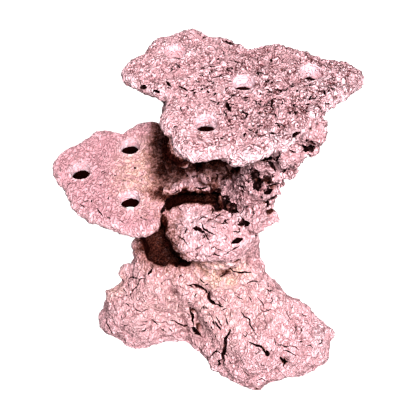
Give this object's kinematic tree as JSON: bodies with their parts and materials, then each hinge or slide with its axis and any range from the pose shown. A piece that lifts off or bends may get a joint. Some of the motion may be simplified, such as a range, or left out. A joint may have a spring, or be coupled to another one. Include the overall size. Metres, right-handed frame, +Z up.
{
  "type": "frag rock tower",
  "caption": "Free-standing piece of cast reef rock: a lobed foot, a narrow neck and rough shelves pierced with holes that hold coral frag plugs.",
  "frame": {"origin": "on the ground, under the middle of the rock's bounding box", "axes": "+Z up, -Y towards the front with the toes, -X towards the mid shelf"},
  "size_m": [0.1832, 0.1337, 0.1975],
  "materials": {
    "reef_rock": "dull, rough and porous, dusty pink"
  },
  "bodies": {
    "root": {"rock_tower": "reef_rock"}
  },
  "joints": []
}
